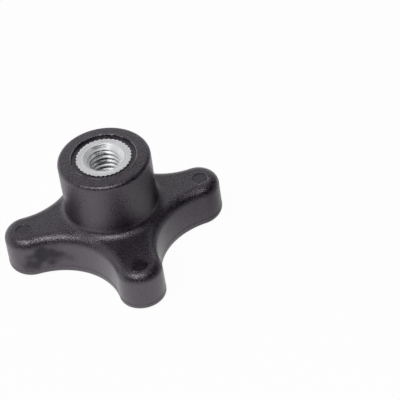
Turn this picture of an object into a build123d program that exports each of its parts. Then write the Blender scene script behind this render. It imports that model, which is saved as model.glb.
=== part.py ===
from build123d import *
import os
from math import atan2, cos, degrees, radians, sin, tan

# Star knob: a four-arm handle moulded in one piece over a steel bush with a blind tapped hole.
# Millimetres. The closed face touches Z = 0 and the hub points along +Z, on the knob's axis.
# The arms point along X and Y.

# Arms, in plan, at the parting line of the mould
ARM_COUNT = 4
KNOB_DIAMETER = 63.0  # across two opposite arm tips
TIP_RADIUS = 6.5  # round end of an arm
WAIST_LAND = 3.7  # hub wall to the deepest point of the finger hollow between two arms

# Arms, in height
ARM_HEIGHT = 12.7  # closed face to the flat on top of the arms
PARTING_HEIGHT = 2.4  # closed face to the parting line
PARTING_STEP = 0.1  # how far the arms' half of the mould falls short of the face's half
ARM_DRAFT = 2.0  # degrees, from the parting line up
FACE_DRAFT = 1.0  # degrees, from the parting line down
SHOULDER_RADIUS = 2.3  # top edge of the arms
FACE_CROWN_RADIUS = 650.0  # the closed face bulges a little, and rests on its middle
FACE_EDGE_RADIUS = 1.2  # edge of the closed face

# Hub
KNOB_HEIGHT = 30.6  # closed face to hub end
HUB_DIAMETER = 25.7  # at the hub end
HUB_DRAFT = 0.3  # degrees
HUB_EDGE_RADIUS = 1.2  # edge of the hub end
HUB_ROOT_RADIUS = 2.4  # where the hub rises from the arms

# Marks left by the mould
SEAL_RING_DIAMETER = 18.0  # shallow ring round the bush, where the mould closed on it
SEAL_RING_DEPTH = 0.4
EJECTOR_DIAMETER = 4.4  # disc on each arm, where an ejector pin pushed
EJECTOR_DEPTH = 0.15
EJECTOR_INSET = 5.3  # arm tip to the middle of the disc

# Threaded bush
BUSH_DIAMETER = 15.4  # over the knurl's crests
BUSH_LENGTH = 22.0
BUSH_EDGE_CHAMFER = 0.5  # at the buried end
KNURL_COUNT = 37
KNURL_DEPTH = 0.45
KNURL_ANGLE = 90.0  # degrees, between the flanks of a flute
ANCHOR_GROOVE_WIDTH = 5.0  # groove that the plastic locks into
ANCHOR_GROOVE_DIAMETER = 13.0
THREAD_DIAMETER = 10.0
THREAD_PITCH = 1.5
THREAD_DEPTH = 18.5  # bush face to the end of the full bore
MOUTH_DIAMETER = 11.2  # countersink at the thread's mouth
DRILL_POINT_ANGLE = 118.0  # degrees, full angle of the cone at the bottom

# Worked out from the sizes above
HALF_PITCH = 180 / ARM_COUNT  # degrees from the middle of an arm to the middle of a hollow
TIP_CENTRE = KNOB_DIAMETER / 2 - TIP_RADIUS
TIP_ALONG = TIP_CENTRE * cos(radians(HALF_PITCH))
TIP_ASIDE = TIP_CENTRE * sin(radians(HALF_PITCH))
# The hollow's arc touches the waist and runs on from two arm tips in tangency
WAIST_RADIUS = HUB_DIAMETER / 2 + WAIST_LAND
HOLLOW_RADIUS = ((TIP_ALONG - WAIST_RADIUS) ** 2 + TIP_ASIDE**2 - TIP_RADIUS**2) / (
    2 * (TIP_ALONG - WAIST_RADIUS + TIP_RADIUS)
)
HOLLOW_CENTRE = WAIST_RADIUS + HOLLOW_RADIUS
HOLLOW_HALF_ANGLE = degrees(atan2(TIP_ASIDE, HOLLOW_CENTRE - TIP_ALONG))
TIP_HALF_ANGLE = HALF_PITCH + HOLLOW_HALF_ANGLE
BUSH_TOP = KNOB_HEIGHT - SEAL_RING_DEPTH
BUSH_FOOT = BUSH_TOP - BUSH_LENGTH
BORE_DIAMETER = THREAD_DIAMETER - THREAD_PITCH  # tapping size, which is what the wall measures
MOUTH_DEPTH = (MOUTH_DIAMETER - BORE_DIAMETER) / 2
POINT_DEPTH = BORE_DIAMETER / 2 / tan(radians(DRILL_POINT_ANGLE / 2))
SAME_HEIGHT = 0.001  # how near two heights count as one

os.makedirs("parts", exist_ok=True)


def polar(distance, angle):
    """The point at a distance from the axis, in a direction given in degrees."""
    return distance * cos(radians(angle)), distance * sin(radians(angle))


def star_plan(height, proud=0.0):
    """The outline of the arms at a height, standing `proud` of the nominal one all round."""
    with BuildSketch(Plane.XY.offset(height)) as plan:
        with BuildLine():
            for arm in range(ARM_COUNT):
                along = 2 * HALF_PITCH * arm
                between = along + HALF_PITCH
                CenterArc(
                    polar(TIP_CENTRE, along),
                    TIP_RADIUS + proud,
                    along - TIP_HALF_ANGLE,
                    2 * TIP_HALF_ANGLE,
                )
                CenterArc(
                    polar(HOLLOW_CENTRE, between),
                    HOLLOW_RADIUS - proud,
                    between + 180 - HOLLOW_HALF_ANGLE,
                    2 * HOLLOW_HALF_ANGLE,
                )
        make_face()
    return plan.sketch


def edges_at(part, height):
    """The edges of a part that lie flat at a height."""
    return part.edges().filter_by_position(Axis.Z, height - SAME_HEIGHT, height + SAME_HEIGHT)


# Bush before it is drilled: the plastic is moulded onto this form
with BuildPart() as bush_blank:
    with BuildSketch(Plane.XY.offset(BUSH_FOOT)):
        Circle(BUSH_DIAMETER / 2)
    extrude(amount=BUSH_LENGTH)
    chamfer(edges_at(bush_blank, BUSH_FOOT), BUSH_EDGE_CHAMFER)

    # straight knurl: one V flute, repeated round the bush
    with BuildSketch(Plane.XY.offset(BUSH_FOOT)):
        with PolarLocations(BUSH_DIAMETER / 2 - KNURL_DEPTH, KNURL_COUNT):
            flute_mouth = KNURL_DEPTH * tan(radians(KNURL_ANGLE / 2))
            Polygon((0, 0), (KNURL_DEPTH, -flute_mouth), (KNURL_DEPTH, flute_mouth), align=None)
    extrude(amount=BUSH_LENGTH, mode=Mode.SUBTRACT)

    # anchor groove, halfway along
    with BuildSketch(Plane.XY.offset((BUSH_FOOT + BUSH_TOP - ANCHOR_GROOVE_WIDTH) / 2)):
        Circle(BUSH_DIAMETER)
        Circle(ANCHOR_GROOVE_DIAMETER / 2, mode=Mode.SUBTRACT)
    extrude(amount=ANCHOR_GROOVE_WIDTH, mode=Mode.SUBTRACT)


# Knob body
with BuildPart() as knob_body:
    # arms, above the parting line
    extrude(
        star_plan(PARTING_HEIGHT, -PARTING_STEP),
        amount=ARM_HEIGHT - PARTING_HEIGHT,
        taper=ARM_DRAFT,
    )

    # hub, drawn down to the parting line so that it stands in the arms
    with BuildSketch(Plane.XZ):
        with BuildLine():
            foot_spread = (KNOB_HEIGHT - PARTING_HEIGHT) * tan(radians(HUB_DRAFT))
            Polyline(
                (0, PARTING_HEIGHT),
                (HUB_DIAMETER / 2 + foot_spread, PARTING_HEIGHT),
                (HUB_DIAMETER / 2, KNOB_HEIGHT),
                (0, KNOB_HEIGHT),
                close=True,
            )
        make_face()
    revolve(axis=Axis.Z)
    fillet(edges_at(knob_body, KNOB_HEIGHT), HUB_EDGE_RADIUS)

    # the hub's root comes before the shoulders, which run into it at the waists
    hub_root = edges_at(knob_body, ARM_HEIGHT).sort_by(SortBy.DISTANCE)[0]
    fillet(hub_root, HUB_ROOT_RADIUS)
    shoulders = edges_at(knob_body, ARM_HEIGHT).sort_by(SortBy.DISTANCE)[1:]
    fillet(shoulders, SHOULDER_RADIUS)

    # the half below the parting line, which holds the closed face
    extrude(
        star_plan(PARTING_HEIGHT),
        amount=PARTING_HEIGHT,
        dir=(0, 0, -1),
        taper=FACE_DRAFT,
    )
    # the closed face's bulge, cut from it with a ball whose poles lie outside the knob
    with Locations((0, 0, FACE_CROWN_RADIUS)):
        Sphere(FACE_CROWN_RADIUS, rotation=(90, 0, 0), mode=Mode.INTERSECT)
    closed_face = knob_body.faces().sort_by(Axis.Z)[0]
    fillet(closed_face.edges(), FACE_EDGE_RADIUS)

    # ejector discs on the arms
    with BuildSketch(Plane.XY.offset(ARM_HEIGHT)):
        with PolarLocations(KNOB_DIAMETER / 2 - EJECTOR_INSET, ARM_COUNT):
            Circle(EJECTOR_DIAMETER / 2)
    extrude(amount=-EJECTOR_DEPTH, mode=Mode.SUBTRACT)

    # ring where the mould closed on the bush, and the place that the bush fills
    with BuildSketch(Plane.XY.offset(KNOB_HEIGHT)):
        Circle(SEAL_RING_DIAMETER / 2)
    extrude(amount=-SEAL_RING_DEPTH, mode=Mode.SUBTRACT)
    add(bush_blank, mode=Mode.SUBTRACT)

knob_body.part.label = "knob_body"
export_step(knob_body.part, "parts/knob_body.step")


# Threaded bush, drilled and countersunk from its outer end
with BuildPart() as threaded_bush:
    add(bush_blank)
    with BuildSketch(Plane.XZ):
        with BuildLine():
            Polyline(
                (0, BUSH_TOP),
                (MOUTH_DIAMETER / 2, BUSH_TOP),
                (BORE_DIAMETER / 2, BUSH_TOP - MOUTH_DEPTH),
                (BORE_DIAMETER / 2, BUSH_TOP - THREAD_DEPTH),
                (0, BUSH_TOP - THREAD_DEPTH - POINT_DEPTH),
                close=True,
            )
        make_face()
    revolve(axis=Axis.Z, mode=Mode.SUBTRACT)

threaded_bush.part.label = "threaded_bush"
export_step(threaded_bush.part, "parts/threaded_bush.step")
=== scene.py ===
from collections import Counter
from math import atan2, cos, pi, radians, sin, tan

import bmesh
import bpy
import numpy as np
from mathutils import Euler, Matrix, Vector, noise


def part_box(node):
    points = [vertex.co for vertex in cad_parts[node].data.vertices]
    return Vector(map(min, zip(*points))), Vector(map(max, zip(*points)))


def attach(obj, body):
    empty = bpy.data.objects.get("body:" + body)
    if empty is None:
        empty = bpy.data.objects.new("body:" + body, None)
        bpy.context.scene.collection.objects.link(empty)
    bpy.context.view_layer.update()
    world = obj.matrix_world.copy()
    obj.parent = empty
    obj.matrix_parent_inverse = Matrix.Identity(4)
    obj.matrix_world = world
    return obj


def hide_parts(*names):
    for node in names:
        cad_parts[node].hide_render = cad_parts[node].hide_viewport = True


# A four-arm star knob: black nylon moulded over a zinc-plated steel bush with a blind tapped hole.
# The closed face stands on the floor, Z = 0, and the hub points up. Arms point along X and Y.
# Sizes are in millimetres, and MM turns them into the scene's metres.
MM = 0.001

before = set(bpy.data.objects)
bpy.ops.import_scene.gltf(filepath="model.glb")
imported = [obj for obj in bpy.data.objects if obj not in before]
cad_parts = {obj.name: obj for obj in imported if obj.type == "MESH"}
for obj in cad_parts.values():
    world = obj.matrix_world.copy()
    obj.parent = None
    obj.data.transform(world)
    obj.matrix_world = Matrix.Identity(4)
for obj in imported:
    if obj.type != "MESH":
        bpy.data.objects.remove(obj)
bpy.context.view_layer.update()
body_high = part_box("knob_body")[1] / MM
bush_low, bush_high = (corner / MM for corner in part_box("threaded_bush"))

# Arms, in plan, at the parting line
ARM_COUNT = 4
TIP_REACH = body_high.x  # axis to arm tip
TIP_RADIUS = 6.5
WAIST_RADIUS = 16.55  # axis to the deepest point of a finger hollow

# Arms, in height
ARM_HEIGHT = 12.95
PARTING_HEIGHT = 2.4
PARTING_STEP = 0.04
ARM_DRAFT = radians(1.1)
FACE_DRAFT = radians(1.0)
SHOULDER_RADIUS = 2.9
FACE_EDGE_RADIUS = 1.2
FACE_CROWN = 0.73  # the closed face bulges: how far it has risen at the tips before they bend up

# Hub
HUB_HEIGHT = body_high.z
HUB_RADIUS = 12.85  # at the hub end
HUB_DRAFT = radians(0.3)
HUB_EDGE_RADIUS = 1.2
HUB_ROOT_RADIUS = 2.4
HUB_END_DROP = 0.1  # how far the hub end falls away from its ring to its edge

# Shrinkage of the plastic
RIPPLE = 0.035  # how far the walls wander from true
BOW = 0.33  # how far the arm tips have risen
BOW_START = 14.0  # axis to where the arms begin to bend
SINK_MIDDLE = np.array([-21.4, -6.8, 7.2])  # of the one sunk patch on the arms' walls
SINK_REACH = np.array([5.0, 5.0, 3.0])
SINK_DEPTH = 0.16

# Ring in the hub end, where the mould closed on the bush
SEAL_RING_RADIUS = 9.0
SEAL_RING_FLOOR = HUB_HEIGHT - 0.62  # closed face to the ring's floor
LIP_HEIGHT = 0.08  # of the burr round the ring
TORN_SIDE = radians(62)  # where that lip is torn into crumbs, from the +X arm round
CRUMB_HEIGHT = 0.35

# Other marks left by the mould
FLASH = 0.03  # how far the thin web squeezed out at the parting line stands out
EJECTOR_RADIUS = 2.3
EJECTOR_REACH = TIP_REACH - 5.3
# From the +X arm round: how far each print lies from its true place, how proud its lip stands,
# how deep it is and how polished its floor
EJECTOR_MARKS = (
    ((-0.4, -0.6), 0.05, 0.15, 0.5),
    ((0.2, -0.3), 0.012, 0.12, 0.3),
    ((0.5, -0.45), 0.03, 0.14, 0.5),
    ((0.15, 0.0), 0.015, 0.16, 0.85),
)

# Dull smears that a rub left on and by the sunk patch: middle, reach each way, strength
SMEARS = (
    (SINK_MIDDLE, (6.2, 4.0, 4.2), 1.0),
    (np.array([-25.6, -6.4, 5.0]), (4.6, 4.0, 2.6), 0.85),
    (np.array([-16.0, -8.4, 6.2]), (3.4, 3.0, 2.0), 0.5),
)

# Threaded bush
BUSH_FACE = HUB_HEIGHT - 0.28  # height of its faced end
BUSH_FOOT = bush_low.z
BUSH_RADIUS = 7.7
FOOT_CHAMFER = 0.5
KNURL_COUNT = 37
KNURL_DEPTH = 0.45
GROOVE_RADIUS = 6.5
GROOVE_WIDTH = 5.0
GROOVE_LOW = (bush_low.z + bush_high.z - GROOVE_WIDTH) / 2
GROOVE_HIGH = GROOVE_LOW + GROOVE_WIDTH
TURNED_LINE_RADIUS = 6.15  # a fine line that the turning tool left in the face
TURNED_LINE_DEPTH = 0.06
MOUTH_RADIUS = 5.6
CREST_RADIUS = 4.22  # the thread's inner diameter, halved
ROOT_RADIUS = 5.0
TAP_DRILL_RADIUS = 4.25
THREAD_PITCH = 1.5
THREAD_DEPTH = 18.5
THREAD_START = 0.15  # turn at which the thread enters, as a share of a pitch
THREAD_ROW = 0.055  # height of one row of the thread's faces
DRILL_POINT_HALF_ANGLE = radians(59)
OIL_AND_SHADE_SIDE = radians(88)  # where dried oil and painted shade darken the countersink, from the +X arm round
CLEARANCE = 0.02  # between the bush's skin and the pocket's, so that the two never fight

# Steps round the knob: a whole number for each arc of the outline and each tooth of the knurl
COLUMNS = 592
COLUMNS_TO_ONE = 4  # columns of the bush's face to each column of its thread
THREAD_COLUMNS = COLUMNS // COLUMNS_TO_ONE
PRINT_COLUMNS = 96  # steps round an ejector pin's print

# Colours, with alpha. Where there are two, the surface is mottled from one to the other.
GRAINED_NYLON = ((0.002, 0.001, 0.003, 1), (0.024, 0.015, 0.027, 1))
DRAWN_NYLON = ((0.016, 0.008, 0.018, 1), (0.046, 0.031, 0.050, 1))
# the hub's wall: the arms' drawn nylon, painted darker as shade
SHADED_HUB_WALL_NYLON = ((0.005, 0.002, 0.006, 1), (0.026, 0.014, 0.028, 1))
# the prints' polished floors, and painted shade in the seal ring
POLISHED_AND_SHADED_NYLON = (0.006, 0.003, 0.007, 1)
# torn, whitened burr, and partly a painted highlight along the lips
WHITENED_AND_HIGHLIGHT_NYLON = (0.30, 0.28, 0.31, 1)
BRIGHT_ZINC = ((0.80, 0.82, 0.84, 1), (1.0, 1.0, 1.0, 1))
# painted shade on the bush's side, in the gap under its faced end
GAP_SHADE_ON_BUSH = (0.05, 0.05, 0.055, 1)
# painted shade in the tapped thread
THREAD_SHADE_ZINC = (0.28, 0.29, 0.31, 1)
# dried oil on the countersink, partly painted shade
DRIED_OIL_AND_SHADE = (0.10, 0.11, 0.12, 1)
WHITE = (1, 1, 1, 1)
WHITE_TABLE = (0.92, 0.90, 0.90, 1)
ROOM_LIGHT = (1, 0.99, 1.0, 1)

# Brightness of the surroundings by height: (sine of the angle over the horizon, level)
BEHIND_LEVELS = (
    (0.0, 1.3),
    (0.15, 1.15),
    (0.3, 0.85),
    (0.45, 0.7),
    (0.68, 0.39),
    (0.85, 0.35),
    (1.0, 0.4),
)
FRONT_LEVELS = ((0.0, 0.3), (0.2, 0.12), (0.5, 0.15), (0.7, 0.5), (1.0, 0.6))

# Ways over the table from the knob
TO_WHITE_WALL = (0.24, 0.97, 0.0)
TO_DARK_CORNER = (0.85, -0.53, 0.0)


def polar(distance, angle):
    return np.array([distance * cos(angle), distance * sin(angle)])


def round_steps(count):
    """Angles from 0 to a right angle, in even steps, both ends included."""
    return np.linspace(0, pi / 2, count + 1)


# ---------------------------------------------------------------- outline of the arms

half_pitch = pi / ARM_COUNT
tip_centre = TIP_REACH - TIP_RADIUS
tip_along = tip_centre * cos(half_pitch)
tip_aside = tip_centre * sin(half_pitch)
hollow_radius = ((tip_along - WAIST_RADIUS) ** 2 + tip_aside**2 - TIP_RADIUS**2) / (
    2 * (tip_along - WAIST_RADIUS + TIP_RADIUS)
)
hollow_centre = WAIST_RADIUS + hollow_radius
hollow_half = atan2(tip_aside, hollow_centre - tip_along)
tip_half = half_pitch + hollow_half


def parting_outline():
    """Points of the parting line and the way straight out of each, column by column."""
    steps = COLUMNS // (2 * ARM_COUNT)
    points, outward = [], []
    for arm in range(ARM_COUNT):
        along = 2 * half_pitch * arm
        for step in range(steps):
            way = polar(1, along + tip_half * (2 * step / steps - 1))
            points.append(polar(tip_centre, along) + TIP_RADIUS * way)
            outward.append(way)
        between = along + half_pitch
        for step in range(steps):
            way = polar(1, between + hollow_half * (1 - 2 * step / steps))
            points.append(polar(hollow_centre, between) - hollow_radius * way)
            outward.append(way)
    return np.array(points), np.array(outward)


def ways_round(count):
    """Angles about the axis, in even steps from the first arm's flank, and their unit vectors."""
    angles = 2 * pi * np.arange(count) / count - half_pitch / 2
    return angles, np.column_stack([np.cos(angles), np.sin(angles)])


OUTLINE, OUTWARD = parting_outline()
COLUMN_ANGLES, ROUND = ways_round(COLUMNS)


def arm_ring(inset, height):
    """The outline drawn in by an amount, at a height."""
    inset = np.broadcast_to(inset, COLUMNS)[:, None]
    return np.column_stack([OUTLINE - inset * OUTWARD, np.broadcast_to(height, COLUMNS)])


def round_ring(radius, height):
    """A ring about the axis. Its radius and height may change from column to column."""
    radius = np.broadcast_to(radius, COLUMNS)[:, None]
    return np.column_stack([ROUND * radius, np.broadcast_to(height, COLUMNS)])


def wander(rings, size, seed):
    """Smooth random numbers from -1 to 1 over some rings, with waves of a size."""
    shift = Vector((seed * 7.31, seed * 3.17, seed * 5.53))
    return [
        np.array([noise.noise(Vector(point) / size + shift) for point in ring]) for ring in rings
    ]


def from_axis(places):
    return np.hypot(places[:, 0], places[:, 1])


# ---------------------------------------------------------------- marks on the knob body


def print_middle(arm):
    """The middle of the ejector pin's print on an arm."""
    return polar(EJECTOR_REACH, 2 * half_pitch * arm) + np.array(EJECTOR_MARKS[arm][0])


def torn_share(angles):
    """How far the seal ring's lip is torn at each angle, from 0 to 1."""
    return np.clip(np.cos(angles - TORN_SIDE) * 6 - 5, 0, 1)


def lip_waves(places):
    """Slow and fine waves of the seal ring's lip."""
    [slow], [fine] = wander([places], size=3.0, seed=8), wander([places], size=0.35, seed=9)
    return slow, fine


def polish_and_ring_shade_share(places):
    """How far each point has the mould's polished finish and not its eroded grain, from 0 to 1. In
    the seal ring the share is also painted shade in the recess.
    """
    reach = from_axis(places)
    in_ring = (reach < SEAL_RING_RADIUS - 0.05) & (places[:, 2] > BUSH_FACE - 0.6)
    # the ring is polished, and painted darker as shade most on the side of the -Y arm
    share = in_ring * (0.6 - 0.35 * places[:, 1] / np.maximum(reach, 1))
    for arm, (*_, shine) in enumerate(EJECTOR_MARKS):
        away = from_axis(places - (*print_middle(arm), 0))
        on_floor = (away < EJECTOR_RADIUS - 0.02) & (abs(places[:, 2] - ARM_HEIGHT) < 0.5)
        share = np.maximum(share, shine * on_floor)
    return share


def burr_and_highlight_share(places):
    """How far each point is torn or squeezed thin and so whitened, from 0 to 1. Along the lips the
    whitening is partly a painted highlight.
    """
    slow, fine = lip_waves(places)
    off_lip = abs(from_axis(places) - SEAL_RING_RADIUS - 0.06)
    on_lip = (off_lip < 0.14) & (places[:, 2] > HUB_HEIGHT - 0.07)
    torn = torn_share(np.arctan2(places[:, 1], places[:, 0]))
    crumbs = torn * np.clip(4 * fine - 0.2, 0, 1)
    on_ring = on_lip * np.maximum(np.clip(1.6 * slow + 0.2, 0, 0.45), crumbs)
    # the print on the first arm has a lip, whitened partly as a painted highlight
    off_print = abs(from_axis(places - (*print_middle(0), 0)) - EJECTOR_RADIUS - 0.06)
    on_print = (off_print < 0.1) & (places[:, 2] > ARM_HEIGHT - 0.1)
    return np.maximum(on_ring, 0.5 * on_print * np.clip(0.8 + 1.5 * slow, 0.3, 1))


def dull_share(places):
    """How far each point is smeared dull, from 0 to 1."""
    [edge] = wander([places], size=2.2, seed=6)
    share = np.zeros(len(places))
    for middle, reach, strength in SMEARS:
        away = (((places - middle) / np.array(reach)) ** 2).sum(1)
        share = np.maximum(share, strength * np.clip(1.15 - away + 0.6 * edge, 0, 1))
    return share


# ---------------------------------------------------------------- knob body


def hub_radius(height):
    return HUB_RADIUS + (HUB_HEIGHT - height) * tan(HUB_DRAFT)


ROOT_FOOT = hub_radius(ARM_HEIGHT)


def root_rise(radius):
    """How high the hub's root stands over the arms, at a distance from the axis."""
    reach = np.clip(ROOT_FOOT + HUB_ROOT_RADIUS - radius, 0, HUB_ROOT_RADIUS)
    return HUB_ROOT_RADIUS - np.sqrt(HUB_ROOT_RADIUS**2 - reach**2)


def bow_rise(places):
    """How far the arms have bent up, at each point. The hub stays true."""
    out = np.clip((from_axis(places) - BOW_START) / (TIP_REACH - BOW_START), 0, None)
    return BOW * out**1.5


def closed_face_rings():
    """The bulging closed face from near its middle out, then its rounded edge."""
    flat_inset = (PARTING_HEIGHT - FACE_EDGE_RADIUS) * tan(FACE_DRAFT) + FACE_EDGE_RADIUS
    rings = [arm_ring(flat_inset, 0) * share for share in (0.15, 0.3, 0.45, 0.6, 0.75, 0.88)]
    for turn in round_steps(9):
        inset = flat_inset - FACE_EDGE_RADIUS * sin(turn)
        rings.append(arm_ring(inset, FACE_EDGE_RADIUS * (1 - cos(turn))))
    for ring in rings:
        ring[:, 2] += FACE_CROWN * (from_axis(ring) / TIP_REACH) ** 4
    return rings


def parting_rings():
    """The step where the two halves of the mould met, with the flash squeezed out along it."""
    edge_ring = arm_ring(0, PARTING_HEIGHT)
    [ripple] = wander([edge_ring], size=2.2, seed=3)
    [patch] = wander([edge_ring], size=9.0, seed=4)
    flash = FLASH * np.clip(0.5 + 1.1 * ripple + 0.9 * patch, 0.12, 1.4)
    # how far up, how far in, and the share of the flash that stands out
    profile = (
        (-0.12, 0.0, 0.0),
        (-0.05, 0.0, 0.35),
        (0.0, 0.0, 1.0),
        (0.03, 0.0, 0.75),
        (0.05, 0.45 * PARTING_STEP, 0.0),
        (0.09, PARTING_STEP, 0.0),
    )
    return [
        arm_ring(inset - flash * share, PARTING_HEIGHT + rise) for rise, inset, share in profile
    ]


def wall_inset(height):
    return PARTING_STEP + (height - PARTING_HEIGHT) * tan(ARM_DRAFT)


def arm_wall_rings():
    """The arms' side wall, with the slight waves and one sink that shrinkage leaves."""
    low, high = PARTING_HEIGHT + 0.5, ARM_HEIGHT - SHOULDER_RADIUS - 0.3
    rings = [arm_ring(wall_inset(height), height) for height in np.linspace(low, high, 14)]
    out = np.column_stack([OUTWARD, np.zeros(COLUMNS)])
    for ring, waves in zip(rings, wander(rings, size=7.0, seed=1)):
        sink = SINK_DEPTH * np.exp(-(((ring - SINK_MIDDLE) / SINK_REACH) ** 2).sum(1))
        fade = np.clip(np.minimum(ring[:, 2] - low, high - ring[:, 2]) / 1.5, 0, 1)
        ring += out * (fade * (RIPPLE * waves - sink))[:, None]
    return rings


def shoulder_rings():
    """The rounded top edge of the arms, which runs into the hub's root at the waists."""
    foot = wall_inset(ARM_HEIGHT - SHOULDER_RADIUS)
    rings = []
    for turn in round_steps(10):
        ring = arm_ring(foot + SHOULDER_RADIUS * (1 - cos(turn)), 0)
        ring[:, 2] = ARM_HEIGHT - SHOULDER_RADIUS * (1 - sin(turn)) + root_rise(from_axis(ring))
        rings.append(ring)
    return rings


def arm_top_rings(outer):
    """From the inner edge of the shoulder over the arms' flats and up the hub's root."""
    outer = outer[:, :2]
    way = ROUND * ROOT_FOOT - outer
    # where each column's line to the hub meets the circle on which the root begins
    a = (way**2).sum(1)
    b = (outer * way).sum(1)
    c = (outer**2).sum(1) - (ROOT_FOOT + HUB_ROOT_RADIUS) ** 2
    meets = (-b - np.sqrt(np.clip(b**2 - a * c, 0, None))) / a
    meets = np.clip(meets, 0.25, 0.95)
    flat_rows = 14
    flat = [meets * row / flat_rows for row in range(1, flat_rows + 1)]
    root = [meets + (1 - meets) * sin(turn) for turn in round_steps(12)[1:]]
    rings = []
    for share in flat + root:
        ring = outer + way * share[:, None]
        rings.append(np.column_stack([ring, ARM_HEIGHT + root_rise(from_axis(ring))]))
    return rings


def hub_wall_rings():
    """The hub's drawn wall, with slight waves."""
    low, high = ARM_HEIGHT + HUB_ROOT_RADIUS, HUB_HEIGHT - HUB_EDGE_RADIUS
    rings = [round_ring(hub_radius(height), height) for height in np.linspace(low, high, 15)[1:-1]]
    for ring, waves in zip(rings, wander(rings, size=8.0, seed=2)):
        fade = min(ring[0, 2] - low, high - ring[0, 2]) / 2.5
        ring[:, :2] += ROUND * (min(fade, 1) * RIPPLE * waves)[:, None]
    return rings


def hub_end_rings():
    """The hub end's rounded edge, its flat, and the ring where the mould closed on the bush."""
    edge_radius = hub_radius(HUB_HEIGHT - HUB_EDGE_RADIUS)
    rings = [
        round_ring(
            edge_radius - HUB_EDGE_RADIUS * (1 - cos(turn)),
            HUB_HEIGHT - HUB_END_DROP - HUB_EDGE_RADIUS * (1 - sin(turn)),
        )
        for turn in round_steps(8)
    ]
    # how far out from the ring's edge, how high, and how far the torn lip lifts it
    profile = (
        (1.8, HUB_HEIGHT - 0.55 * HUB_END_DROP, 0.0),
        (0.9, HUB_HEIGHT - 0.2 * HUB_END_DROP, 0.0),
        (0.32, HUB_HEIGHT, 0.0),
        (0.16, HUB_HEIGHT, 0.8),
        (0.06, HUB_HEIGHT, 1.0),
        (-0.03, HUB_HEIGHT - 0.05, 0.6),
        (-0.08, SEAL_RING_FLOOR + 0.14, 0.0),
        (-0.16, SEAL_RING_FLOOR + 0.03, 0.0),
        (-0.3, SEAL_RING_FLOOR, 0.0),
        (BUSH_RADIUS + 0.25 - SEAL_RING_RADIUS, SEAL_RING_FLOOR, 0.0),
    )
    slow, fine = lip_waves(round_ring(SEAL_RING_RADIUS, 0))
    torn = torn_share(COLUMN_ANGLES)
    lip = LIP_HEIGHT * np.clip(0.7 + 1.2 * slow, 0.1, 1.3)
    lip += CRUMB_HEIGHT * torn * np.clip(fine, 0, 1)
    for out, height, lift in profile:
        reach = SEAL_RING_RADIUS + out + lift * 0.5 * torn * fine
        rings.append(round_ring(reach, height + lift * lip))
    return rings


def knurl_radius():
    """The bush's outline, column by column: V flutes whose bottoms the tool left a little round."""
    pitch = 2 * pi * BUSH_RADIUS / KNURL_COUNT
    along = (COLUMN_ANGLES * BUSH_RADIUS / pitch) % 1
    aside = np.minimum(along, 1 - along) * pitch
    flute = np.clip(KNURL_DEPTH - aside, 0, None)
    return BUSH_RADIUS - flute + 0.06 * np.exp(-((aside / 0.12) ** 2))


def knurled_rings(gap):
    """Knurl and anchor groove from the foot up: the bush's own with a gap, or else its pocket's."""
    knurl = knurl_radius()
    return [
        round_ring(np.minimum(knurl, BUSH_RADIUS - FOOT_CHAMFER) - gap, BUSH_FOOT + gap),
        round_ring(knurl - gap, BUSH_FOOT + FOOT_CHAMFER),
        round_ring(knurl - gap, GROOVE_LOW + gap),
        round_ring(GROOVE_RADIUS - gap, GROOVE_LOW + gap),
        round_ring(GROOVE_RADIUS - gap, GROOVE_HIGH - gap),
        round_ring(knurl - gap, GROOVE_HIGH - gap),
        round_ring(knurl - gap, SEAL_RING_FLOOR),
    ]


def add_to_scene(name, data):
    thing = bpy.data.objects.new(name, data)
    bpy.context.scene.collection.objects.link(thing)
    return thing


def mesh_object(name, vertices, faces, material):
    mesh = bpy.data.meshes.new(name)
    mesh.from_pydata((np.asarray(vertices) * MM).tolist(), [], faces)
    mesh.validate()
    mesh.materials.append(material)
    return add_to_scene(name, mesh)


def smooth(piece, sharp_angle):
    """Smooth shading, but for edges that turn by more than the angle."""
    piece.data.polygons.foreach_set("use_smooth", [True] * len(piece.data.polygons))
    piece.data.set_sharp_from_angle(angle=sharp_angle)


def skin(rings, columns, first=0):
    """Faces between each ring and the next. Rings run up the outside."""
    faces = []
    for row in range(len(rings) - 1):
        low, high = first + row * columns, first + (row + 1) * columns
        for column in range(columns):
            after = (column + 1) % columns
            faces.append((low + column, low + after, high + after, high + column))
    return faces


def fan(first, columns, tip, flip):
    """Triangles from a ring to one point."""
    faces = []
    for column in range(columns):
        a, b = first + column, first + (column + 1) % columns
        faces.append((b, a, tip) if flip else (a, b, tip))
    return faces


def clear_round_patch(bm, middle, reach):
    """Takes a round patch out of an arm's flat. Returns the edges that border the hole."""
    doomed = [
        face
        for face in bm.faces
        if face.normal.z > 0.999
        and abs(face.calc_center_median().z - ARM_HEIGHT) < 0.02
        and (face.calc_center_median().xy - middle).length < reach
    ]
    uses = Counter(edge for face in doomed for edge in face.edges)
    border = [edge for edge, count in uses.items() if count == 1]
    inner = [edge for edge, count in uses.items() if count > 1]
    bmesh.ops.delete(bm, geom=doomed, context="FACES_ONLY")
    bmesh.ops.delete(bm, geom=inner, context="EDGES")
    return border


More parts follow.
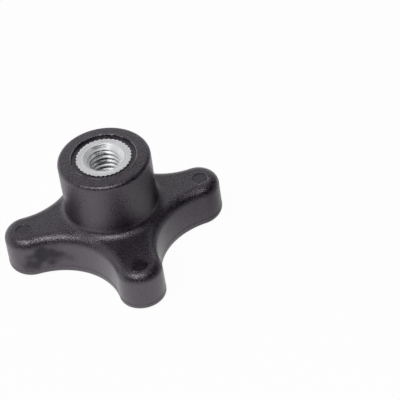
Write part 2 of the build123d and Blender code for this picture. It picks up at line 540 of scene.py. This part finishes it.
def press_ejector_mark(bm, middle, lip, depth, seed):
    """Cuts a round print with a thin lip into an arm's flat."""
    border = clear_round_patch(bm, middle, EJECTOR_RADIUS + 0.3)
    # how far out from the print's edge, and how high
    profile = (
        (0.2, 0.0),
        (0.1, lip),
        (0.02, 0.6 * lip),
        (-0.03, -0.3 * depth),
        (-0.06, -0.85 * depth),
        (-0.14, -depth),
        (-0.7, -depth),
        (-1.3, -0.96 * depth),
    )
    circles = []
    for out, rise in profile:
        circle = []
        for step in range(PRINT_COLUMNS):
            x, y = polar(1, 2 * pi * step / PRINT_COLUMNS)
            uneven = 1 + 0.35 * noise.noise(Vector((x, y, seed * 4.7)) * 1.7)
            reach = EJECTOR_RADIUS + out
            height = ARM_HEIGHT + rise * uneven
            circle.append(bm.verts.new((middle.x + reach * x, middle.y + reach * y, height)))
        circles.append(circle)
    for a, b in zip(circles, circles[1:]):
        for step in range(PRINT_COLUMNS):
            bm.faces.new((a[step - 1], a[step], b[step], b[step - 1]))
    bm.faces.new(circles[-1])
    rim = [bm.edges.get((circles[0][step - 1], circles[0][step])) for step in range(PRINT_COLUMNS)]
    bmesh.ops.triangle_fill(bm, edges=border + rim, use_beauty=True, normal=(0, 0, 1))


def knob_body(material):
    """The moulded body, as one closed skin from the middle of its face round to the bush's foot."""
    rings = closed_face_rings() + parting_rings() + arm_wall_rings() + shoulder_rings()
    rings += arm_top_rings(rings[-1])
    rings += hub_wall_rings() + hub_end_rings() + knurled_rings(0)[::-1]
    vertices = np.vstack(rings + [[(0, 0, 0)], [(0, 0, BUSH_FOOT)]])
    face_middle, pocket_middle = len(vertices) - 2, len(vertices) - 1
    faces = skin(rings, COLUMNS)
    faces += fan(0, COLUMNS, face_middle, True)
    faces += fan((len(rings) - 1) * COLUMNS, COLUMNS, pocket_middle, False)

    bm = bmesh.new()
    corners = [bm.verts.new(vertex) for vertex in vertices]
    for face in faces:
        bm.faces.new([corners[index] for index in face])
    bm.normal_update()
    for arm, (_, lip, depth, _) in enumerate(EJECTOR_MARKS):
        press_ejector_mark(bm, Vector(print_middle(arm)), lip, depth, arm)
    places = np.array([vertex.co for vertex in bm.verts])
    for vertex, rise in zip(bm.verts, bow_rise(places)):
        vertex.co.z += rise
    bmesh.ops.scale(bm, vec=(MM, MM, MM), verts=bm.verts)
    bm.normal_update()

    mesh = bpy.data.meshes.new("moulded_knob_body")
    bm.to_mesh(mesh)
    bm.free()
    shares = {"polish_and_ring_shade": polish_and_ring_shade_share, "dull": dull_share, "burr_and_highlight": burr_and_highlight_share}
    for name, share in shares.items():
        mesh.attributes.new(name, "FLOAT", "POINT").data.foreach_set("value", share(places))
    mesh.materials.append(material)
    piece = add_to_scene("moulded_knob_body", mesh)
    smooth(piece, radians(40))
    return piece


# ---------------------------------------------------------------- threaded bush


def thread_radius(height, angles):
    """The tapped wall's distance from the axis: a 60-degree form with rounded root and crest."""
    turns = (BUSH_FACE - height) / THREAD_PITCH + angles / (2 * pi) + THREAD_START
    from_root = np.abs((turns % 1) - 0.5) * THREAD_PITCH
    root_half, crest_half = THREAD_PITCH / 16, THREAD_PITCH / 8
    rise = (from_root - root_half) / (THREAD_PITCH / 2 - root_half - crest_half)
    rise = np.clip(rise, 0, 1)
    rise = rise + 0.03 * np.sin(2 * pi * rise)
    return ROOT_RADIUS - (ROOT_RADIUS - CREST_RADIUS) * rise


def bush_outside_rings():
    """The bush's outside from its foot up, then its faced end in to the countersink."""
    # turning the face smeared the flutes' mouths part shut, some more than others
    [smear] = wander([round_ring(BUSH_RADIUS, 0)], size=1.1, seed=11)
    open_share = np.clip(0.65 + 0.9 * smear, 0.15, 0.95)
    edge = BUSH_RADIUS - (BUSH_RADIUS - knurl_radius()) * open_share
    return knurled_rings(CLEARANCE) + [
        # the face's edge, hardly rounded
        round_ring(edge - CLEARANCE, BUSH_FACE - 0.1),
        round_ring(edge - CLEARANCE - 0.02, BUSH_FACE - 0.03),
        round_ring(edge - CLEARANCE - 0.08, BUSH_FACE),
        # the flutes' outline fades out over the outer part of the face
        round_ring(edge * 0.4 + BUSH_RADIUS * 0.6 - 0.4, BUSH_FACE),
        round_ring(BUSH_RADIUS - 1, BUSH_FACE),
        round_ring(TURNED_LINE_RADIUS + 0.15, BUSH_FACE),
        round_ring(TURNED_LINE_RADIUS, BUSH_FACE - TURNED_LINE_DEPTH),
        round_ring(TURNED_LINE_RADIUS - 0.15, BUSH_FACE),
        round_ring(MOUTH_RADIUS + 0.06, BUSH_FACE),
    ]


def bush_inside_rings():
    """The countersink and the thread, down to where the thread runs out."""
    angles, ways = ways_round(THREAD_COLUMNS)
    top = BUSH_FACE - 0.03
    rows = int(THREAD_DEPTH / THREAD_ROW)
    rings = []
    for row in range(rows + 1):
        height = top - (THREAD_DEPTH - 0.03) * row / rows
        cone = MOUTH_RADIUS + 0.02 - (BUSH_FACE - height)
        # the thread runs out into the drilled wall over a little more than its last turn
        above_end = (height - (BUSH_FACE - THREAD_DEPTH)) / (1.2 * THREAD_PITCH)
        cut = thread_radius(height, angles) - TAP_DRILL_RADIUS
        thread = TAP_DRILL_RADIUS + cut * min(1, max(0, above_end))
        radius = np.maximum(np.maximum(thread, cone), CREST_RADIUS)
        rings.append(np.column_stack([ways * radius[:, None], np.full(THREAD_COLUMNS, height)]))
    return rings


def threaded_bush(material):
    """The bush, knurled and grooved outside, countersunk and tapped inside."""
    outside, inside = bush_outside_rings(), bush_inside_rings()
    point = BUSH_FACE - THREAD_DEPTH - TAP_DRILL_RADIUS / tan(DRILL_POINT_HALF_ANGLE)
    ends = [[(0, 0, BUSH_FOOT + CLEARANCE)], [(0, 0, point)]]
    vertices = np.vstack(outside + inside + ends)
    foot_middle, drill_point = len(vertices) - 2, len(vertices) - 1
    first_inside = len(outside) * COLUMNS
    face_rim = first_inside - COLUMNS

    faces = skin(outside, COLUMNS) + skin(inside, THREAD_COLUMNS, first_inside)
    for column in range(THREAD_COLUMNS):
        steps = range(COLUMNS_TO_ONE + 1)
        rim = [face_rim + (column * COLUMNS_TO_ONE + step) % COLUMNS for step in steps]
        after = (column + 1) % THREAD_COLUMNS
        faces.append(rim + [first_inside + after, first_inside + column])
    faces += fan(0, COLUMNS, foot_middle, True)
    faces += fan(foot_middle - THREAD_COLUMNS, THREAD_COLUMNS, drill_point, False)
    piece = mesh_object("zinc_plated_bush", vertices, faces, material)
    smooth(piece, radians(38))
    return piece


# ---------------------------------------------------------------- shader nodes


def connect(tree, value, socket):
    """Links another node's output to a socket, or sets the socket to a plain value."""
    if isinstance(value, bpy.types.NodeSocket):
        tree.links.new(value, socket)
    else:
        socket.default_value = value


def add_node(tree, kind, inputs=None, **settings):
    """A shader node with its settings. Its inputs are values or other nodes' outputs."""
    node = tree.nodes.new(kind)
    for name, value in settings.items():
        setattr(node, name, value)
    for name, value in (inputs or {}).items():
        connect(tree, value, node.inputs[name])
    return node


def arithmetic(tree, operation, *values):
    node = add_node(tree, "ShaderNodeMath", operation=operation)
    for socket, value in zip(node.inputs, values):
        connect(tree, value, socket)
    return node.outputs[0]


def scaled(tree, value, factor, plus):
    return arithmetic(tree, "MULTIPLY_ADD", value, factor, plus)


def ramp(tree, value, start, end, low=0.0, high=1.0, **settings):
    """A number that goes from low to high as a value goes from start to end."""
    inputs = {"Value": value, "From Min": start, "From Max": end, "To Min": low, "To Max": high}
    return add_node(tree, "ShaderNodeMapRange", inputs, **settings).outputs["Result"]


def mixed(tree, factor, a, b):
    """A colour that goes from one to the other as the factor goes from 0 to 1."""
    inputs = {"Factor": factor, "A": a, "B": b}
    return add_node(tree, "ShaderNodeMix", inputs, data_type="RGBA").outputs["Result"]


def noise_over(tree, place, scale, detail, roughness):
    inputs = {"Vector": place, "Scale": scale, "Detail": detail, "Roughness": roughness}
    return add_node(tree, "ShaderNodeTexNoise", inputs).outputs[0]


def new_group(name, inputs, outputs):
    """A node group with named number inputs and outputs. Returns it and its two end nodes."""
    group = bpy.data.node_groups.new(name, "ShaderNodeTree")
    for label, default in inputs.items():
        socket = group.interface.new_socket(label, in_out="INPUT", socket_type="NodeSocketFloat")
        socket.default_value = default
    for label in outputs:
        group.interface.new_socket(label, in_out="OUTPUT", socket_type="NodeSocketFloat")
    return group, group.nodes.new("NodeGroupInput"), group.nodes.new("NodeGroupOutput")


def grain_group():
    """Fine grain and slow mottling for any finish, each of a size in millimetres."""
    sizes = {"Grain Size": 0.3, "Mottle Size": 6.0}
    group, given, out = new_group("surface_grain", sizes, ("Grain", "Mottle"))
    place = add_node(group, "ShaderNodeTexCoord").outputs["Object"]
    grain_scale = arithmetic(group, "DIVIDE", 1 / MM, given.outputs["Grain Size"])
    mottle_scale = arithmetic(group, "DIVIDE", 1 / MM, given.outputs["Mottle Size"])
    connect(group, noise_over(group, place, grain_scale, 2.0, 0.6), out.inputs["Grain"])
    connect(group, noise_over(group, place, mottle_scale, 3.0, 0.55), out.inputs["Mottle"])
    return group


def about_axis_group():
    """Where a point lies about the knob's axis: radius and height in metres, angle in radians."""
    group, _, out = new_group("about_axis", {}, ("Radius", "Angle", "Height"))
    place = add_node(group, "ShaderNodeTexCoord").outputs["Object"]
    split = add_node(group, "ShaderNodeSeparateXYZ", {"Vector": place})
    x, y, height = split.outputs
    flat = add_node(group, "ShaderNodeCombineXYZ", {"X": x, "Y": y}).outputs[0]
    radius = add_node(group, "ShaderNodeVectorMath", {0: flat}, operation="LENGTH")
    connect(group, radius.outputs["Value"], out.inputs["Radius"])
    connect(group, arithmetic(group, "ARCTAN2", y, x), out.inputs["Angle"])
    connect(group, height, out.inputs["Height"])
    return group


def place_group(tree, group, **sizes):
    node = add_node(tree, "ShaderNodeGroup", node_tree=group)
    for name, size in sizes.items():
        node.inputs[name.replace("_", " ").title()].default_value = size
    return node.outputs


def new_material(name):
    """A material with one Principled shader. Returns it, its tree and the shader."""
    material = bpy.data.materials.new(name)
    material.use_nodes = True
    tree = material.node_tree
    tree.nodes.clear()
    shader = add_node(tree, "ShaderNodeBsdfPrincipled")
    add_node(tree, "ShaderNodeOutputMaterial", {"Surface": shader.outputs[0]})
    return material, tree, shader


# ---------------------------------------------------------------- materials


def nylon_masks(tree, about_axis):
    """Where the nylon is on the arms, a grained face, a level flat, or the hub's drawn wall."""
    about = place_group(tree, about_axis)
    on_arms = ramp(tree, about["Radius"], (HUB_RADIUS + 0.3) * MM, (HUB_RADIUS + 1.5) * MM)
    normal = add_node(tree, "ShaderNodeNewGeometry").outputs["Normal"]
    up = add_node(tree, "ShaderNodeSeparateXYZ", {"Vector": normal}).outputs["Z"]
    # the mould's lower edge, under the parting line, is drawn smooth like the walls
    top_face = ramp(tree, up, 0.05, 0.25)
    closed_face = ramp(tree, up, -0.8, -0.97)
    face = arithmetic(tree, "MAXIMUM", top_face, closed_face)
    flat = ramp(tree, arithmetic(tree, "ABSOLUTE", up), 0.92, 0.99)
    off_arms = arithmetic(tree, "SUBTRACT", 1.0, on_arms)
    off_face = arithmetic(tree, "SUBTRACT", 1.0, face)
    on_hub_wall = arithmetic(tree, "MULTIPLY", off_arms, off_face)
    return on_arms, face, flat, on_hub_wall


def black_nylon(grain, about_axis):
    """Moulded nylon: eroded grain on the faces square to the draw, satin on the drawn walls."""
    material, tree, shader = new_material("black_nylon")
    surface = place_group(tree, grain, grain_size=0.42, mottle_size=4.0)
    polish_and_ring_shade, dull, burr_and_highlight = (
        add_node(tree, "ShaderNodeAttribute", attribute_name=name).outputs["Fac"]
        for name in ("polish_and_ring_shade", "dull", "burr_and_highlight")
    )
    on_arms, face, flat, on_hub_wall = nylon_masks(tree, about_axis)

    uneven = arithmetic(
        tree,
        "ADD",
        scaled(tree, surface["Grain"], 6.0, -2.75),
        scaled(tree, surface["Mottle"], 1.2, -0.45),
    )
    on_face, on_wall, on_hub_shaded = (
        mixed(tree, uneven, *pair) for pair in (GRAINED_NYLON, DRAWN_NYLON, SHADED_HUB_WALL_NYLON)
    )
    # the hub's wall takes a darker copy of the drawn nylon: painted shade
    moulded = mixed(tree, face, mixed(tree, on_arms, on_hub_shaded, on_wall), on_face)
    # polish darkens the prints' floors; in the seal ring the darkening is painted shade, strongest
    # on the side of the -Y arm
    rubbed_and_ring_shaded = mixed(tree, arithmetic(tree, "MAXIMUM", polish_and_ring_shade, dull), moulded, POLISHED_AND_SHADED_NYLON)
    # whitened burr: real on the torn crumbs, partly a painted highlight along the lips
    connect(tree, mixed(tree, burr_and_highlight, rubbed_and_ring_shaded, WHITENED_AND_HIGHLIGHT_NYLON), shader.inputs["Base Color"])
    shader.inputs["IOR"].default_value = 1.53
    shader.inputs["Specular IOR Level"].default_value = 1.0
    shader.inputs["Specular Tint"].default_value = (0.97, 0.915, 1.0, 1)

    grainy = arithmetic(tree, "MULTIPLY", face, scaled(tree, surface["Grain"], 0.6, -0.28))
    moulded_rough = arithmetic(tree, "ADD", scaled(tree, surface["Mottle"], 0.2, 0.21), grainy)
    rubbed_rough = scaled(tree, dull, 0.5, moulded_rough)
    connect(tree, ramp(tree, polish_and_ring_shade, 0.0, 1.0, rubbed_rough, 0.22), shader.inputs["Roughness"])

    grain_depth = scaled(tree, flat, 0.45, scaled(tree, on_hub_wall, 0.45, 0.3))
    strength = arithmetic(
        tree,
        "MULTIPLY",
        scaled(tree, face, 0.25, grain_depth),
        scaled(tree, polish_and_ring_shade, -0.9, 1.0),
    )
    inputs = {"Height": surface["Grain"], "Strength": strength, "Distance": 0.23 * MM}
    connect(tree, add_node(tree, "ShaderNodeBump", inputs).outputs[0], shader.inputs["Normal"])
    return material


def zinc_plate(grain, about_axis):
    """Bright zinc plating over turned and tapped steel."""
    material, tree, shader = new_material("zinc_plate")
    surface = place_group(tree, grain, grain_size=0.2, mottle_size=2.5)
    about = place_group(tree, about_axis)
    # turning marks run round the axis: they change with radius and height, and little with angle
    mark_size = 0.3 * MM
    along_cut = {
        "X": arithmetic(tree, "DIVIDE", about["Radius"], mark_size),
        "Y": arithmetic(tree, "DIVIDE", about["Height"], mark_size),
        "Z": about["Angle"],
    }
    turned = add_node(tree, "ShaderNodeCombineXYZ", along_cut).outputs[0]
    marks = noise_over(tree, turned, 1.0, 3.0, 0.6)
    streaks = arithmetic(tree, "ADD", scaled(tree, marks, 2.4, -1.2), surface["Mottle"])
    bright = mixed(tree, streaks, *BRIGHT_ZINC)

    # the knurled side, under the faced end, is painted dark as shade in the gap round the bush
    side = ramp(tree, about["Radius"], (BUSH_RADIUS - 0.75) * MM, (BUSH_RADIUS - 0.4) * MM)
    low = ramp(tree, about["Height"], (BUSH_FACE - 0.25) * MM, (BUSH_FACE - 0.08) * MM, 1.0, 0.0)
    shaded_in_gap = mixed(tree, arithmetic(tree, "MULTIPLY", side, low), bright, GAP_SHADE_ON_BUSH)
    # the thread is painted greyer towards its crests, as shade in the tapped bore
    thin = ramp(tree, about["Radius"], CREST_RADIUS * MM, (ROOT_RADIUS + 0.1) * MM, 0.06, 0.0)
    plated = mixed(tree, thin, shaded_in_gap, THREAD_SHADE_ZINC)
    # dark streaks on one side of the cone: partly dried cutting oil, partly painted shade over the
    # highlight there
    off_side = arithmetic(tree, "SUBTRACT", about["Angle"], OIL_AND_SHADE_SIDE)
    on_side = ramp(tree, arithmetic(tree, "COSINE", off_side), 0.88, 0.97)
    in_cone = ramp(tree, about["Radius"], (MOUTH_RADIUS + 0.05) * MM, (MOUTH_RADIUS - 0.15) * MM)
    oil_and_shade = arithmetic(tree, "MULTIPLY", on_side, in_cone)
    oil_and_shade = arithmetic(tree, "MULTIPLY", oil_and_shade, ramp(tree, marks, 0.42, 0.55))
    connect(tree, mixed(tree, oil_and_shade, plated, DRIED_OIL_AND_SHADE), shader.inputs["Base Color"])

    # the cone and the thread are milkier and a little smoother than the faced end
    mouth = (MOUTH_RADIUS - 0.1) * MM, (MOUTH_RADIUS + 0.1) * MM
    connect(tree, ramp(tree, about["Radius"], *mouth, 0.3, 0.72), shader.inputs["Metallic"])
    base_rough = ramp(tree, about["Radius"], *mouth, 0.3, 0.33)
    connect(tree, scaled(tree, surface["Mottle"], 0.2, base_rough), shader.inputs["Roughness"])
    inputs = {"Height": marks, "Strength": 0.5, "Distance": 0.03 * MM}
    connect(tree, add_node(tree, "ShaderNodeBump", inputs).outputs[0], shader.inputs["Normal"])
    return material


# ---------------------------------------------------------------- floor, light and camera


def white_table():
    """White to the eye and in reflections, but for the knob's soft shadow."""
    material = bpy.data.materials.new("white_table")
    material.use_nodes = True
    tree = material.node_tree
    tree.nodes.clear()
    rays = add_node(tree, "ShaderNodeLightPath").outputs
    reflected = arithmetic(tree, "MAXIMUM", rays["Is Glossy Ray"], rays["Is Transmission Ray"])
    seen = arithmetic(tree, "MAXIMUM", rays["Is Camera Ray"], reflected)
    # most of the white is glow, and the rest of it takes the knob's shadow
    glow_share = arithmetic(tree, "MULTIPLY", seen, 0.96)
    # in reflections the table is darker in front and to the right, away from the daylight
    place = add_node(tree, "ShaderNodeTexCoord").outputs["Object"]
    spot = add_node(tree, "ShaderNodeSeparateXYZ", {"Vector": place}).outputs
    right = ramp(tree, spot["X"], 10 * MM, 36 * MM, 0.0, 0.62)
    front = ramp(tree, spot["Y"], 12 * MM, -12 * MM)
    daylight = arithmetic(tree, "SUBTRACT", 1.0, arithmetic(tree, "MULTIPLY", right, front))
    strength = arithmetic(tree, "MAXIMUM", rays["Is Camera Ray"], daylight)
    matt = add_node(tree, "ShaderNodeBsdfDiffuse", {"Color": WHITE_TABLE}).outputs[0]
    glow = add_node(tree, "ShaderNodeEmission", {"Color": WHITE, "Strength": strength}).outputs[0]
    both = add_node(tree, "ShaderNodeMixShader", {"Fac": glow_share, 1: matt, 2: glow}).outputs[0]
    add_node(tree, "ShaderNodeOutputMaterial", {"Surface": both})
    return material


def table():
    half = 3000.0
    top = -0.02  # just clear of the knob's face, so that the two never fight
    corners = [(x * half, y * half, top) for x, y in ((-1, -1), (1, -1), (1, 1), (-1, 1))]
    floor = mesh_object("table", corners, [(0, 1, 2, 3)], white_table())


def level_by_height(tree, height, levels):
    """Brightness by height over the horizon, from a list of heights and levels."""
    node = add_node(tree, "ShaderNodeValToRGB", {"Fac": height})
    stops = node.color_ramp.elements
    for end, (place, level) in zip(stops, (levels[0], levels[-1])):
        end.position = place
        end.color = (level, level, level, 1)
    for place, level in levels[1:-1]:
        stops.new(place).color = (level, level, level, 1)
    return node.outputs["Color"]


def facing(tree, way, towards, start, end, low, high):
    """A number that goes from low to high as a direction turns towards another."""
    ways = {0: way, 1: Vector(towards)}
    cosine = add_node(tree, "ShaderNodeVectorMath", ways, operation="DOT_PRODUCT").outputs["Value"]
    return ramp(tree, cosine, start, end, low, high, interpolation_type="SMOOTHSTEP")


def studio_world():
    """Soft surroundings: white walls behind and to the left, dark low down in front and right."""
    world = bpy.data.worlds.new("studio")
    bpy.context.scene.world = world
    world.use_nodes = True
    tree = world.node_tree
    tree.nodes.clear()
    way = add_node(tree, "ShaderNodeTexCoord").outputs["Generated"]
    height = add_node(tree, "ShaderNodeSeparateXYZ", {"Vector": way}).outputs["Z"]
    behind = facing(tree, way, TO_WHITE_WALL, -0.5, 0.2, 0.0, 1.0)
    in_front = arithmetic(tree, "SUBTRACT", 1.0, behind)
    off_corner = facing(tree, way, TO_DARK_CORNER, -0.1, 0.6, 1.0, 0.12)
    level = arithmetic(
        tree,
        "ADD",
        arithmetic(tree, "MULTIPLY", level_by_height(tree, height, BEHIND_LEVELS), behind),
        arithmetic(tree, "MULTIPLY", level_by_height(tree, height, FRONT_LEVELS), in_front),
    )
    level = arithmetic(tree, "MULTIPLY", off_corner, level)
    room = {"Color": ROOM_LIGHT, "Strength": level}
    room = add_node(tree, "ShaderNodeBackground", room).outputs[0]
    white = add_node(tree, "ShaderNodeBackground", {"Color": WHITE, "Strength": 1.0}).outputs[0]
    seen = add_node(tree, "ShaderNodeLightPath").outputs["Is Camera Ray"]
    both = add_node(tree, "ShaderNodeMixShader", {"Fac": seen, 1: room, 2: white}).outputs[0]
    add_node(tree, "ShaderNodeOutputWorld", {"Surface": both})


def soft_box(name, place, size, power):
    """A rectangular lamp that shines at the knob's foot. Place and size are in metres."""
    lamp = bpy.data.lights.new(name, "AREA")
    lamp.shape = "RECTANGLE"
    lamp.size, lamp.size_y = size
    lamp.energy = power
    box = add_to_scene(name, lamp)
    box.location = place
    box.rotation_euler = (-Vector(place)).to_track_quat("-Z", "Y").to_euler()


def studio_camera():
    """A long lens from above one arm, with the knob left of the middle."""
    lens = bpy.data.cameras.new("camera")
    lens.lens = 129.62
    lens.sensor_width = 36
    lens.clip_end = 20
    place = Vector((-48.24, -293.73, 285.44)) * MM
    aim = Vector((26.467, 4.652, 0.0)) * MM
    roll = radians(-7.053)
    camera = add_to_scene("camera", lens)
    camera.location = place
    turn = (aim - place).to_track_quat("-Z", "Y").to_matrix()
    camera.rotation_euler = (turn @ Euler((0, 0, roll)).to_matrix()).to_euler()
    bpy.context.scene.camera = camera


# ---------------------------------------------------------------- making

grain, about_axis = grain_group(), about_axis_group()
body = knob_body(black_nylon(grain, about_axis))
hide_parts("knob_body")
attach(body, "root")

bush = threaded_bush(zinc_plate(grain, about_axis))
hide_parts("threaded_bush")
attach(bush, "root")

table()
studio_world()
soft_box("overhead", place=(-0.22, -0.3, 0.79), size=(0.52, 0.36), power=3.65)
studio_camera()

bpy.context.scene.view_settings.view_transform = "Standard"
